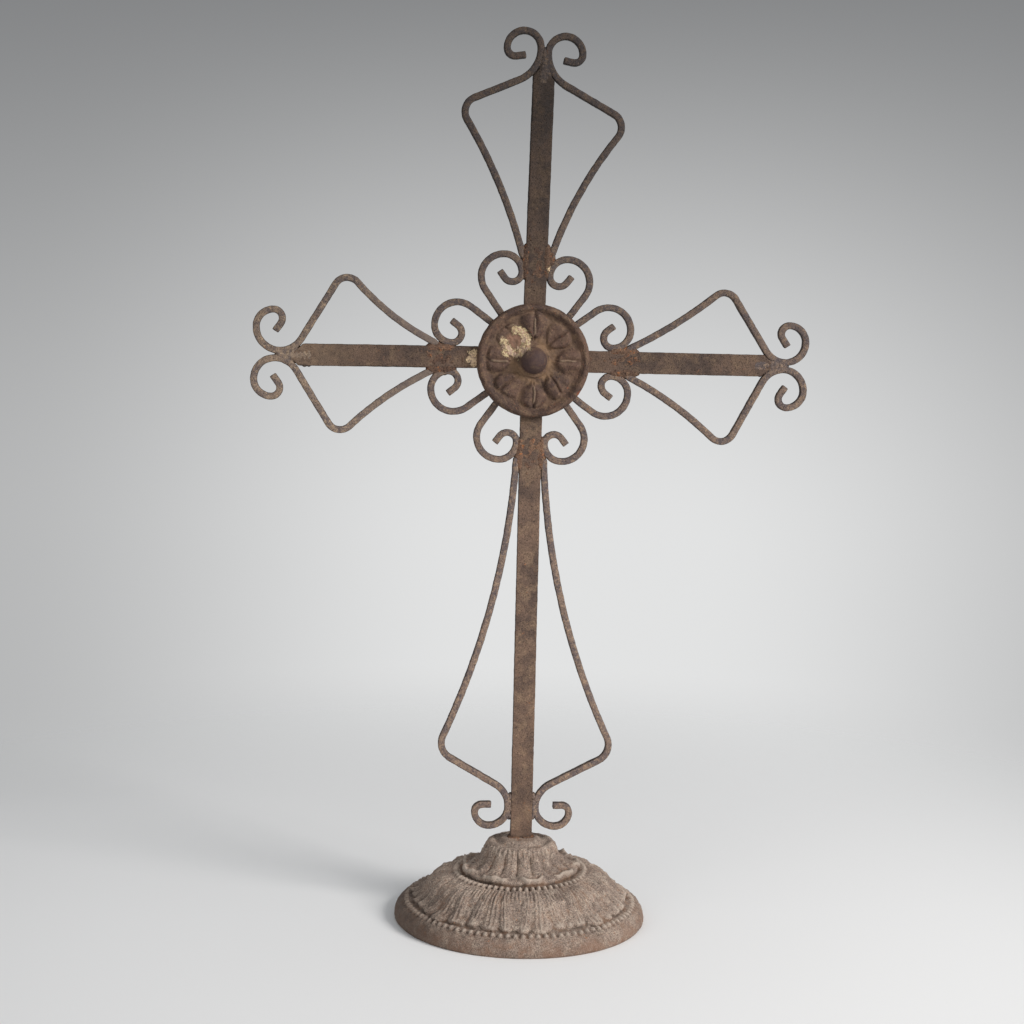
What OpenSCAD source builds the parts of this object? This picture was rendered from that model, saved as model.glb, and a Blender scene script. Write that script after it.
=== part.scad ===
// Standing wrought iron cross on a round cast foot.
// The cross stands in the XZ plane and faces -Y, the foot rests on Z = 0,
// and the origin is at the middle of the foot's underside.
// Each arm has its own flat frame: U runs out along the arm and V out from
// its middle line. A rod is drawn there as the line that its middle follows.

/* [Bars and rods] */
// Width of the flat bars
bar_w = 18; // [12:0.5:28]
// Thickness of the flat bars
bar_t = 6; // [4:0.5:10]
// Side of the square rod
rod = 6; // [4:0.25:8]
// How deep a rod is flattened where it lies against a bar
let_in = 0.5; // [0:0.1:1]
// Gap between the cut ends that are welded to each other
weld_gap = 0.1; // [0.05:0.05:0.3]

/* [Cross] */
// Height of the crossing above the floor
cross_z = 467; // [400:1:600]
// Lean of the top arm to the right, in degrees
top_lean = 0.9; // [0:0.1:2]
// Droop of the left arm, in degrees
left_droop = 0.4; // [0:0.1:2]
// How much higher the left bar is welded than the right one
left_step = 2; // [0:0.5:4]
// How far short of the rods' meeting point an arm's bar ends
bar_short = 8; // [4:0.5:14]

/* [Shield rods: where they meet the bar, from the crossing] */
// Top arm, left and right rod
top_touch = [250, 246.5]; // [230:0.5:280]
// Left arm, upper and lower rod
left_touch = [205, 209]; // [190:0.5:240]
// Right arm, upper and lower rod
right_touch = [211, 209.5]; // [190:0.5:240]
// Lower arm, left and right rod, as a height above the foot
low_touch = [26, 25.5]; // [20:0.5:60]

/* [Shield rods: how far out the shoulder reaches] */
// Top arm, left and right rod
top_out = [62.5, 65]; // [58:0.5:72]
// Left arm, upper and lower rod
left_out = [62.5, 60.5]; // [57:0.5:70]
// Right arm, upper and lower rod
right_out = [59, 63.5]; // [57:0.5:70]
// Lower arm, left and right rod
low_out = [68.5, 72]; // [62:0.5:80]

/* [Shield rods: slope of the leg that returns to the bar] */
// Top arm, left and right rod
top_slope = [66, 63]; // [55:0.5:70]
// Left arm, upper and lower rod
left_slope = [58.5, 58.5]; // [52:0.5:64]
// Right arm, upper and lower rod
right_slope = [57, 62]; // [52:0.5:64]
// Lower arm, left and right rod
low_slope = [59.5, 63]; // [54:0.5:68]

/* [Shield rods: radius of the first half of the curl] */
// Top arm, left and right rod
top_curl = [13.5, 14]; // [12:0.5:18]
// Left arm, upper and lower rod
left_curl = [19, 17]; // [15:0.5:22]
// Right arm, upper and lower rod
right_curl = [16.5, 17.5]; // [15:0.5:22]
// Lower arm, left and right rod
low_curl = [16, 16.5]; // [14:0.5:20]

/* [Shield bends: side, top and lower arms] */
// Slope of the long leg where it leaves the bar
leg_slopes = [26, 17, 4]; // [2:0.5:40]
// Radius of the shoulder bend
shoulder_rs = [11, 12, 14.5]; // [7:0.5:20]
// Radius of the bend back towards the bar
return_rs = [20, 28, 22]; // [10:0.5:40]
// Radius of the outer half of the curl
curl_rs = [14, 14, 12]; // [8:0.5:20]
// Radius of the hook at the rod's end
hook_rs = [7, 6.5, 6]; // [5:0.25:10]
// Turn of the hook, in degrees
hook_turns = [125, 100, 90]; // [60:1:150]
// Straight tip after the hook
shield_tip = 8; // [3:0.5:14]
// How far the inner end laps back along the bar
laps = [4, 6, 12]; // [2:1:20]

/* [C-scrolls] */
// Top arm: where the left and the right scroll touch the bar
c_top = [71, 68.5]; // [55:0.5:85]
// Left arm: where the upper and the lower scroll touch the bar
c_left = [66, 68.5]; // [55:0.5:85]
// Right arm: where the upper and the lower scroll touch the bar
c_right = [66, 65]; // [55:0.5:85]
// Lower arm: where the left and the right scroll touch the bar
c_low = [67, 68]; // [55:0.5:85]
// Radius of the turn next to the bar
c_turn_r = 14.5; // [10:0.5:20]
// Radius of the wide outer turn
c_wide_r = 18.5; // [12:0.5:26]
// Turn of the wide part, in degrees
c_wide_turn = 126; // [110:1:140]
// Radius of the inner hook
c_hook_r = 7.8; // [6:0.2:10]
// Turn of the inner hook, in degrees
c_hook_turn = 143; // [100:1:160]
// Straight tip after the inner hook
c_tip = 7; // [2:0.5:10]
// How far behind the medallion's edge the tails would meet; they stop a rod's width short
c_tuck = 12; // [8:0.5:18]

/* [Medallion] */
// Radius of the medallion
med_r = 46.5; // [44:0.5:60]
// Height of the rim above the back
med_rim_h = 10; // [6:0.5:16]
// Width of the rounded rim
med_rim_w = 8; // [5:0.5:12]
// Thickness of the dish floor
med_floor = 5; // [3:0.5:8]
// Number of petals
petals = 8; // [6:1:12]
// Gap that a petal leaves at the rim and at the boss
petal_gap = 0.5; // [0.5:0.5:3]
// Half the width of a petal
petal_w = 7; // [4:0.5:8]
// Height of a petal, its root in the floor included
petal_rise = 5; // [3:0.5:6]
// Radius of the boss in the middle
boss_r = 10.5; // [7:0.5:14]
// Height of the collar under the boss
boss_collar = 3; // [1:0.5:6]

/* [Foot] */
// Radius of the foot
foot_r = 105; // [95:1:130]
// Height of the foot at the seat of the upright
foot_h = 68; // [60:1:90]
// Wall of the casting
foot_wall = 5; // [4:0.5:8]
// Height of the plain rim
rim_h = 16; // [12:0.5:20]
// Width of the plain rim
rim_w = 10; // [6:0.5:14]
// Width of the step between the rim and the leaf tier
rim_step = 5; // [4:0.5:8]
// Inner radius of the leaf tier
band_r = 57; // [54:0.5:60]
// Height of the top of the leaf tier
band_h = 41; // [38:0.5:46]
// How full the leaf tier swells
leaf_swell = 0.75; // [0.3:0.05:0.9]
// Number of leaves round the foot
leaves = 36; // [24:1:48]
// Radius of the groove between two leaves
leaf_groove_r = 3; // [2:0.25:4]
// Depth of the groove between two leaves
leaf_groove = 1.6; // [0.5:0.1:2]
// Radius of the cap that the upright stands on
cap_r = 33; // [30:0.5:40]
// Height of the cap's straight wall above the skirt
cap_wall = 10; // [4:0.5:12]
// Number of flutes on the skirt under the cap
flutes = 18; // [12:1:24]
// Radius of a flute
flute_r = 2.2; // [1.5:0.1:3]
// Radius of the upper bead ring's section
bead_upper = 2.2; // [1.5:0.1:3]
// Radius of the lower bead ring's section
bead_lower = 2; // [1.5:0.1:2.5]
// Radius of the round seat of the upright
seat_r = 17; // [14:0.5:20]

/* [Hidden] */

// Kinds of arm, in the order of the shield bends.
SIDE = 0;
TOP = 1;
LOW = 2;

// A bend has a point every so many degrees, or every so many millimetres.
bend_step = 8;
chord = 6;
// Half the bar's width, and where the middle of a rod lies that is let in on it.
edge = bar_w / 2;
rod_on_edge = edge + rod / 2 - let_in;
// Plane that the medallion lies on: the front of the bars, or of thicker rods.
front = max(bar_t, rod) / 2;
// Radius where the scrolls' tails end, behind the medallion.
tail_r = med_r - c_tuck + rod;
// Size of the blocks that cut the ends of rods and bars.
cutter = 60;
// How far outside the C-scroll's turn the long leg starts, for each kind of arm.
leg_starts = [0, 1, 10];

// Medallion: how deep the petals are rooted in its floor.
petal_root = 1;

// Foot: leaf tier, cap from its top down, skirt, and the room under the cap.
leaf_r = foot_r - rim_w - rim_step;
cap_top = foot_h - 1.5;
cap_floor = cap_top - 0.5;
cap_round = 9;
skirt_r = band_r - 2 * bead_upper;
skirt_top = cap_top - cap_wall - 3;
skirt_low = band_h + 3;
skirt_sweep = 1.3;
flute_lean = 20;
// The wall measured straight down, where it slopes.
wall_drop = 1.5 * foot_wall;
room_r = cap_r - wall_drop;
room_top = cap_top - cap_round;

// Arms: kind, heading of U, rise of the middle line at the crossing.
TOP_ARM = [TOP, 90 - top_lean, 0];
LEFT_ARM = [SIDE, 180 + left_droop, left_step];
RIGHT_ARM = [SIDE, 0, 0];
LOW_ARM = [LOW, -90, 0];

// Places: arm, side of its middle line, then the shield's touch, shoulder, slope
// and curl, and where the C-scroll touches.
low_reach = cross_z - foot_h;
TOP_LEFT = [TOP_ARM, 1, top_touch[0], top_out[0], top_slope[0], top_curl[0], c_top[0]];
TOP_RIGHT = [TOP_ARM, -1, top_touch[1], top_out[1], top_slope[1], top_curl[1], c_top[1]];
LEFT_UPPER = [LEFT_ARM, -1, left_touch[0], left_out[0], left_slope[0], left_curl[0], c_left[0]];
LEFT_LOWER = [LEFT_ARM, 1, left_touch[1], left_out[1], left_slope[1], left_curl[1], c_left[1]];
RIGHT_UPPER = [RIGHT_ARM, 1, right_touch[0], right_out[0], right_slope[0], right_curl[0],
    c_right[0]];
RIGHT_LOWER = [RIGHT_ARM, -1, right_touch[1], right_out[1], right_slope[1], right_curl[1],
    c_right[1]];
LOW_LEFT = [LOW_ARM, -1, low_reach - low_touch[0], low_out[0], low_slope[0], low_curl[0],
    c_low[0]];
LOW_RIGHT = [LOW_ARM, 1, low_reach - low_touch[1], low_out[1], low_slope[1], low_curl[1],
    c_low[1]];

function kind_of(place) = place[0][0];
function side_of(place) = place[1];
function touch_of(place) = place[2];
function out_of(place) = place[3];
function slope_of(place) = place[4];
function curl_of(place) = place[5];
function scroll_of(place) = place[6];

// Paths: a path is a list of [point, heading].

function along(h) = [cos(h), sin(h)];
function left_of(h) = [-sin(h), cos(h)];
function end_of(path) = path[len(path) - 1];

// A straight run from a place.
function run(from, length) = [[from[0] + length * along(from[1]), from[1]]];

// A bend from a place, to the left where turn is positive.
function bend(from, turn, r) =
    let (s = sign(turn),
         middle = from[0] + s * r * left_of(from[1]),
         n = max(2, ceil(abs(turn) / bend_step), ceil(abs(turn) * PI / 180 * r / chord)))
    [for (i = [1:n]) let (h = from[1] + turn * i / n) [middle - s * r * left_of(h), h]];

// The outline of a rod whose middle follows a path.
function rod_outline(path, w) = concat(
    [for (spot = path) spot[0] + w / 2 * left_of(spot[1])],
    [for (i = [len(path) - 1:-1:0]) path[i][0] - w / 2 * left_of(path[i][1])]);

// A shield rod leaves the bar on a long leg, bends over the shoulder, returns to
// the bar's end and curls outward. The long leg is an arc that starts at the bar
// and meets the circle of the shoulder.
function shield_path(place) =
    let (kind = kind_of(place),
         slope = leg_slopes[kind],
         start = [scroll_of(place) + c_turn_r + leg_starts[kind], edge + rod / 2 * cos(slope)],
         down = -slope_of(place),
         outside = -left_of(down),
         touch = [touch_of(place), kind == LOW ? rod_on_edge : rod / 2],
         back = [touch + return_rs[kind] * ([0, 1] + outside), down],
         shoulder_r = shoulder_rs[kind],
         rise = (out_of(place) - shoulder_r * (1 + outside[1]) - back[0][1]) / along(down)[1],
         shoulder = back[0] + rise * along(down) + shoulder_r * outside,
         gap = start - shoulder,
         leg_r = (gap * gap - pow(shoulder_r, 2)) / 2 / (shoulder_r - left_of(slope) * gap),
         across = shoulder - start - leg_r * left_of(slope),
         meet = atan2(across[0], -across[1]),
         inner = [[start - laps[kind] * along(slope), slope], [start, slope]],
         leg = bend(inner[1], meet - slope, leg_r),
         over = bend(end_of(leg), down - meet, shoulder_r),
         return = bend(back, -down, return_rs[kind]),
         curl = bend(end_of(return), 90, curl_of(place)),
         curl_out = bend(end_of(curl), 90, curl_rs[kind]),
         hook = bend(end_of(curl_out), hook_turns[kind], hook_rs[kind]))
    concat(inner, leg, over, [back], return, curl, curl_out, hook,
        run(end_of(hook), shield_tip));

// A C-scroll touches the bar, hooks inward on one side and swings wide on the
// other, and its tail ends behind the medallion.
function scroll_path(place) =
    let (touch = [scroll_of(place), rod_on_edge],
         turn = bend([touch, 0], 90, c_turn_r),
         wide = bend(end_of(turn), c_wide_turn, c_wide_r),
         last = end_of(wide),
         nearest = -last[0] * along(last[1]),
         off_line = last[0] * last[0] - nearest * nearest,
         tail = nearest - sqrt(tail_r * tail_r - off_line),
         outward = concat(turn, wide, run(last, tail)),
         hook = bend([touch, 180], -c_hook_turn, c_hook_r))
    concat([for (i = [len(outward) - 1:-1:0]) [outward[i][0], outward[i][1] + 180]],
        [[touch, 180]], hook, run(end_of(hook), c_tip));

// Puts a shape drawn in an arm's U and V where it belongs on the cross.
module in_arm(arm, side = 1) {
    translate([0, 0, cross_z + arm[2]]) rotate([90, 0, 0]) rotate(arm[1])
        if (side < 0) mirror([0, 1, 0]) children();
        else children();
}

module flat_bar(outline, t = bar_t) {
    linear_extrude(height = t, center = true) polygon(outline);
}

// The room that a rod needs where something else is cut to fit it.
module rod_room(path) {
    flat_bar(rod_outline(path, rod + 2 * weld_gap), cutter);
}

module iron() {
    color([0.30, 0.23, 0.18]) children();
}

module shield(place) {
    path = shield_path(place);
    clip_end = cutter + (kind_of(place) == LOW ? touch_of(place) : scroll_of(place));
    iron() in_arm(place[0], side_of(place)) difference() {
        flat_bar(rod_outline(path, rod), rod);
        translate([0, edge - cutter, -cutter / 2]) cube([clip_end, cutter, cutter]);
        rod_room(scroll_path(place));
    }
}

module scroll(place) {
    iron() in_arm(place[0], side_of(place)) difference() {
        flat_bar(rod_outline(scroll_path(place), rod), rod);
        translate([scroll_of(place) - cutter / 2, edge - cutter, -cutter / 2]) cube(cutter);
    }
}

// The end of an arm's bar, tucked in between its two rods: its corners lie on the
// rods' middle lines, from where those cross the bar's edge.
function bar_tip(first, second) =
    let (reach = min(touch_of(first), touch_of(second)) - bar_short)
    [for (end = [[first, 1], [second, -1]])
        let (touch = touch_of(end[0]),
             r = return_rs[kind_of(end[0])],
             tucked = r + rod / 2 - sqrt(r * r - pow(touch - reach, 2)),
             crossing = touch - sqrt(r * r - pow(r + rod / 2 - edge, 2)))
        [[crossing, end[1] * edge], [reach, end[1] * tucked]]];

module between_rods(first, second) {
    in_arm(first[0]) difference() {
        children();
        rod_room(shield_path(first));
        mirror([0, 1, 0]) rod_room(shield_path(second));
    }
}

// The upright is one bar, bent a little at the crossing.
module upright_body(t) {
    tip = bar_tip(TOP_LEFT, TOP_RIGHT);
    kink = edge * tan(top_lean / 2);
    lean = [for (p = [tip[1][0], tip[1][1], tip[0][1], tip[0][0]])
        p[0] * along(90 - top_lean) + p[1] * left_of(90 - top_lean)];
    translate([0, 0, cross_z]) rotate([90, 0, 0])
        flat_bar(concat([[-edge, foot_h - cross_z], [edge, foot_h - cross_z], [edge, -kink]],
            lean, [[-edge, kink]]), t);
}

module upright() {
    iron() difference() {
        upright_body(bar_t);
        in_arm(TOP_ARM) rod_room(shield_path(TOP_LEFT));
        in_arm(TOP_ARM, -1) rod_room(shield_path(TOP_RIGHT));
    }
}

// A side bar, butted against the upright's edge.
module side_bar(first, second) {
    tip = bar_tip(first, second);
    iron() difference() {
        between_rods(first, second)
            flat_bar([[0, -edge], tip[1][0], tip[1][1], tip[0][1], tip[0][0], [0, edge]]);
        upright_body(cutter);
    }
}

// A petal lying along X: a pointed leaf cut from a round bar a little wider than it.
module petal(half_l) {
    side_r = (pow(half_l, 2) + pow(petal_w, 2)) / 2 / petal_w;
    half = asin(half_l / side_r);
    step = half / 4;
    bar_r = petal_w + 1.5;
    intersection() {
        linear_extrude(height = petal_w) polygon(concat(
            [for (a = [-half:step:half]) [side_r * sin(a), side_r * cos(a) - side_r + petal_w]],
            [for (a = [half - step:-step:-half + step / 2])
                [side_r * sin(a), side_r - petal_w - side_r * cos(a)]]));
        translate([0, 0, petal_rise - bar_r]) rotate([0, 90, 0])
            cylinder(h = 3 * half_l, r = bar_r, center = true, $fn = 48);
    }
}

module medallion() {
    lip = med_r - med_rim_w / 2;
    dish = med_r - med_rim_w;
    collar_r = boss_r + boss_collar;
    boss_z = med_floor + boss_collar;
    rim = [for (a = [0:15:180]) [lip + med_rim_w / 2 * cos(a),
        a < 90 ? med_rim_h / 2 * (1 + sin(a)) : med_floor + (med_rim_h - med_floor) * sin(a)]];
    boss = [for (a = [0:10:90]) [boss_r * cos(a), boss_z + boss_r * sin(a)]];
    color([0.33, 0.24, 0.19]) translate([0, -front, cross_z]) rotate([90, 0, 0]) union() {
        rotate_extrude($fn = 128) polygon(concat([[0, 0], [med_r, 0]], rim,
            [[collar_r, med_floor], [collar_r, boss_z]], boss));
        for (i = [0:petals - 1]) rotate(i * 360 / petals)
            translate([(collar_r + dish) / 2, 0, med_floor - petal_root])
                petal((dish - collar_r) / 2 - petal_gap);
    }
}

// Radius and height of the leaf tier at a share of its width, from its inner edge.
function tier_r(share) = band_r + (leaf_r - band_r) * share;
function tier_z(share) = rim_h + (band_h - rim_h) * (1 - share) * (1 + leaf_swell * share);

// A bead ring round the foot.
module bead_ring(r, z, bead_r) {
    translate([0, 0, z]) rotate_extrude($fn = 144)
        translate([r, 0]) circle(r = bead_r, $fn = 32);
}

module foot_casting() {
    seat = [[0, foot_h], [seat_r - 1, foot_h], [seat_r, cap_floor], [cap_r - cap_round - 1, cap_floor]];
    cap = [for (a = [90:-15:0])
        [cap_r - cap_round + cap_round * cos(a), cap_top - cap_round + cap_round * sin(a)]];
    skirt = [for (s = [0:0.25:1]) [cap_r + (skirt_r - cap_r) * s,
        skirt_low + (skirt_top - skirt_low) * pow(1 - s, skirt_sweep)]];
    tier = [for (s = [0:0.125:1]) [tier_r(s), tier_z(s)]];
    rim = [for (a = [90:-15:0]) [foot_r - rim_w + rim_w * cos(a), rim_h * sin(a)]];
    under_rim = [[foot_r - rim_w, 0], [foot_r - rim_w, rim_h - wall_drop]];
    under_tier = [for (s = [1:-0.25:0]) [tier_r(s) - foot_wall, tier_z(s) - wall_drop]];
    under_cap = [[room_r + 4, band_h - foot_wall], [room_r, band_h], [room_r - 4, room_top - 2],
        [0, room_top]];
    rotate_extrude($fn = 144) polygon(concat(seat, cap, skirt, tier, [[leaf_r + 1, rim_h - 1]],
        rim, under_rim, under_tier, under_cap));
    bead_ring(band_r - bead_upper, band_h + bead_upper / 2, bead_upper);
    bead_ring(leaf_r + bead_lower, rim_h, bead_lower);
}

module foot() {
    fall = atan2(tier_z(0.2) - tier_z(1), tier_r(1) - tier_r(0.2));
    color([0.40, 0.34, 0.30]) difference() {
        foot_casting();
        for (i = [0:leaves - 1]) rotate(i * 360 / leaves)
            translate([tier_r(0.6), 0, tier_z(0.6) + leaf_groove_r - leaf_groove])
                rotate([0, 90 + fall, 0])
                    cylinder(h = leaf_r - band_r, r = leaf_groove_r, center = true, $fn = 32);
        for (i = [0:flutes - 1]) rotate((i + 0.5) * 360 / flutes)
            translate([cap_r + 1, 0, skirt_top]) rotate([0, flute_lean, 0])
                cylinder(h = 2.2 * cap_wall, r = flute_r, center = true, $fn = 24);
    }
}

foot();
upright();
side_bar(LEFT_LOWER, LEFT_UPPER);  // left_bar
side_bar(RIGHT_UPPER, RIGHT_LOWER);  // right_bar
medallion();
shield(TOP_LEFT);  // shield_top_left
shield(TOP_RIGHT);  // shield_top_right
shield(LEFT_UPPER);  // shield_left_upper
shield(LEFT_LOWER);  // shield_left_lower
shield(RIGHT_UPPER);  // shield_right_upper
shield(RIGHT_LOWER);  // shield_right_lower
shield(LOW_LEFT);  // shield_low_left
shield(LOW_RIGHT);  // shield_low_right
scroll(TOP_LEFT);  // scroll_top_left
scroll(TOP_RIGHT);  // scroll_top_right
scroll(LEFT_UPPER);  // scroll_left_upper
scroll(LEFT_LOWER);  // scroll_left_lower
scroll(RIGHT_UPPER);  // scroll_right_upper
scroll(RIGHT_LOWER);  // scroll_right_lower
scroll(LOW_LEFT);  // scroll_low_left
scroll(LOW_RIGHT);  // scroll_low_right
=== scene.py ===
import math
import random

import bmesh
import bpy
import numpy as np
from mathutils import Matrix, Vector, noise


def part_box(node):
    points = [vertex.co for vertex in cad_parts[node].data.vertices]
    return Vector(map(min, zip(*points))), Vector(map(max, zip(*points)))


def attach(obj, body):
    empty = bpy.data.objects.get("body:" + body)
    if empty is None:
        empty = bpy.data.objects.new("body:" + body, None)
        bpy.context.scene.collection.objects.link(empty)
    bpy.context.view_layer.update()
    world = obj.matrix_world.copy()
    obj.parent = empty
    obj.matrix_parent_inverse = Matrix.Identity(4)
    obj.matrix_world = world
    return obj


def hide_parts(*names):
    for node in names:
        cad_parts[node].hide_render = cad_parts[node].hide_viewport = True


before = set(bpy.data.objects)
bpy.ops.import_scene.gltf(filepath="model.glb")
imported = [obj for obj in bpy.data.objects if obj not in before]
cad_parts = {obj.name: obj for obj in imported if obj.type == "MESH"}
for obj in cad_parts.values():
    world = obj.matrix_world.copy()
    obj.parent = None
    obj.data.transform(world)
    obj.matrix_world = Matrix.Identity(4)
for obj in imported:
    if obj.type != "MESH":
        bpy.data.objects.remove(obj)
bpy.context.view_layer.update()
mm = 0.001

# ---------------------------------------------------------------------------
# The foot: one round iron casting, hollow below, that the upright stands on.
# Its relief was moulded with it: a fluted cap with a recessed seat, a skirt with nine
# rolled petals, rings of beads and a tier of leaves. The rim is plain.
foot_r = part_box("foot")[1].x / mm
foot_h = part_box("foot")[1].z / mm
foot_spokes = 640
flutes = 18
cap_beads, cap_bead_r = 44, 28.9
skirt_petals = 9
petal_turn = 7.0
petal_half = 13
petal_mid_r = 46.6
petal_edge_r = 48.2
gutter_r = 50.6
upper_beads, upper_bead_r = 66, 53.8
shoulder_lines = 132
leaf_groups = 12
group_turn = 7.5
tier_from, tier_to = 61, 91.2
lower_beads, lower_bead_r = 98, 95.0
skew = 0.02

# Outlines as (radius, height) in mm, from the middle of the top outward and down.
seat_line = [(0, foot_h), (13.6, foot_h), (15.6, foot_h - 0.6), (16.7, foot_h - 2),
             (17.6, foot_h - 3.8), (20, foot_h - 4.6), (22.8, foot_h - 3.6)]
cap_line = [(22.8, foot_h - 3.6), (24.6, foot_h - 2.4), (26.8, foot_h - 2.8), (28.5, foot_h - 5.4),
            (30, foot_h - 8.6), (31.4, 54), (33.6, 50.4), (38, 47.6), (44, 45.2), (49, 43.2),
            (51, 41.4), (52, 39.7), (55.6, 39), (57.6, 39.4), (62, 38), (67, 36.2), (71, 34.4),
            (75, 31), (78, 27), (80.5, 23.7), (83, 21.2), (87, 18.8), (90.4, 17), (91.8, 15.4),
            (96.4, 13.6), (98, 13.9)]
rim_line = [(98, 13.9), (99.6, 13), (101.8, 11), (103.5, 8.6), (104.6, 5.2), (foot_r, 2),
            (foot_r - 0.4, 0.3), (foot_r - 1.2, 0)]
under_line = [(foot_r - 1.2, 0), (96, 0), (95, 1), (94.6, 8), (85, 9), (76, 18), (68, 25),
              (60, 30), (52, 33), (29.5, 36), (25.5, 41), (21.5, 55), (6, 57), (0.5, 57)]


def moulded_line(points, step, soften=0.6):
    """Points along an outline every so many mm, with its corners softened."""
    corners = np.array(points, float)
    run = np.concatenate([[0], np.cumsum(np.hypot(*np.diff(corners, axis=0).T))])
    fine = np.arange(0, run[-1], 0.2)
    line = np.stack([np.interp(fine, run, corners[:, k]) for k in (0, 1)], axis=1)
    reach = int(3 * soften / 0.2)
    weights = np.exp(-0.5 * (np.arange(-reach, reach + 1) * 0.2 / soften) ** 2)
    ahead = 2 * line[0] - line[reach:0:-1]
    behind = 2 * line[-1] - line[-2:-reach - 2:-1]
    padded = np.concatenate([ahead, line, behind])
    soft = np.stack([np.convolve(padded[:, k], weights / weights.sum(), "valid") for k in (0, 1)],
                    axis=1)
    wanted = np.linspace(0, fine[-1], max(2, round(run[-1] / step)) + 1)
    return np.stack([np.interp(wanted, fine, soft[:, k]) for k in (0, 1)], axis=1)


def rise(x, low, high):
    """0 below low, 1 above high, smooth between."""
    share = np.clip((x - low) / (high - low), 0, 1)
    return share * share * (3 - 2 * share)


def turn_within(degrees, period):
    """The angle from the middle of the nearest of the repeats."""
    return (degrees + period / 2) % period - period / 2


def rough_cast(points, size, seed):
    """Noise from -1 to 1 at points in mm, with lumps of about that size."""
    shift = Vector((seed * 17.3, seed * 5.1, seed * 9.7))
    flat = points.reshape(-1, 3) / size
    values = [noise.noise(Vector(p) + shift) for p in flat]
    return np.array(values).reshape(points.shape[:-1])


def bead_row(radius, angle, middle, count, size):
    """Half round beads in a ring, a little longer outward, as a height in mm."""
    across = (radius - middle) / (1.3 * size)
    along = middle * np.radians(turn_within(angle, 360 / count)) / (0.85 * size)
    return size * np.sqrt(np.clip(1 - across ** 2 - along ** 2, 0, 1))


def turned_mesh(name, points):
    """A closed mesh from rings of points, the first and last ring drawn to a point."""
    rings, spokes, _ = points.shape
    verts = np.concatenate([points.reshape(-1, 3), [points[0].mean(0)], [points[-1].mean(0)]])
    faces = []
    for i in range(rings - 1):
        for j in range(spokes):
            k = (j + 1) % spokes
            faces.append((i * spokes + j, (i + 1) * spokes + j, (i + 1) * spokes + k, i * spokes + k))
    first, last = rings * spokes, rings * spokes + 1
    for j in range(spokes):
        k = (j + 1) % spokes
        faces.append((first, j, k))
        faces.append((last, (rings - 1) * spokes + k, (rings - 1) * spokes + j))
    mesh = bpy.data.meshes.new(name)
    mesh.from_pydata(verts.tolist(), [], faces)
    mesh.polygons.foreach_set("use_smooth", [True] * len(faces))
    mesh.update()
    piece = bpy.data.objects.new(name, mesh)
    bpy.context.scene.collection.objects.link(piece)
    return piece


def mark_hollows(piece, height, reach, depth):
    """Stores how far each point lies above or below its surroundings, 0.5 being level."""
    around = height.copy()
    for _ in range(reach):
        around = (around + np.roll(around, 1, 1) + np.roll(around, -1, 1)) / 3
        inner = np.concatenate([around[:1], around[:-1]])
        outer = np.concatenate([around[1:], around[-1:]])
        around = (around + inner + outer) / 3
    level = np.clip(0.5 + (height - around) / depth, 0, 1).ravel()
    layer = piece.data.attributes.new("level", "FLOAT", "POINT")
    layer.data.foreach_set("value", np.concatenate([level, [0.5, 0.5]]).astype(np.float32))


def leaf_height(angle, share, middle, half, start, tip):
    """Height of one leaf, 1 at most: half is its half width in degrees, start and tip
    are shares of the tier. It has a midrib and fine ribs, and its tip stands out."""
    along = np.clip((share - start) / (tip - start), 0, 1)
    taper = np.sqrt(np.clip(1 - rise(along, 0.7, 1.06) ** 2, 0, 1))
    across = np.abs(angle - middle) / np.maximum(half * taper, 0.05)
    body = np.clip(1 - across ** 2.6, 0, 1) ** 0.8
    ribs = 0.16 * np.exp(-(across / 0.1) ** 2) + 0.12 * np.cos(4.5 * math.pi * across)
    stand = 0.5 + 0.45 * rise(along, 0.5, 0.95)
    inside = (share > start) * (share < tip) * (across < 1)
    return inside * rise(along, 0, 0.25) * body * (stand + ribs)


def cap_relief(radius, angle):
    """The cap: a ring of small beads on its edge, and flutes down its side, some deeper."""
    turn = np.radians(angle)
    flute = np.abs(np.cos(turn * flutes / 2)) ** 0.7 - 0.6
    deep = 2.8 + 0.6 * np.sin(5 * turn + 2)
    height = deep * flute * rise(radius, 29, 31) * rise(-radius, -44, -38)
    return height + 0.7 * bead_row(radius, angle, cap_bead_r, cap_beads, 1.3)


def skirt_relief(radius, angle):
    """The skirt: rolled petals with uneven lips over a gutter, and beads below them in
    a row of dark cells."""
    turn = np.radians(angle)
    petal = petal_mid_r * np.radians(turn_within(angle - petal_turn, 360 / skirt_petals))
    edge = petal_edge_r - 4.6 * (petal / petal_half) ** 2
    edge = edge + 0.7 * np.sin(14 * turn) + 0.5 * np.sin(31 * turn + 1)
    inner = rise(radius, 36, 47) * (radius < edge) * (0.5 + 0.5 * np.cos(petal / 2.7))
    lip = np.exp(-((radius - edge) / 2.1) ** 2) * rise(-np.abs(petal), -petal_half - 0.5, -8)
    lip = lip * (0.86 + 0.22 * np.sin(23 * turn + 2))
    height = 1.1 * inner + 3.8 * lip - 2.4 * np.exp(-((radius - gutter_r) / 1.3) ** 2)
    height += bead_row(radius, angle, upper_bead_r, upper_beads, 2.4)
    cell = rise(radius, 51.4, 52.4) * rise(-radius, -56.4, -55.2)
    return height - 1.3 * cell * (0.5 - 0.5 * np.cos(upper_beads * turn))


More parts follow.
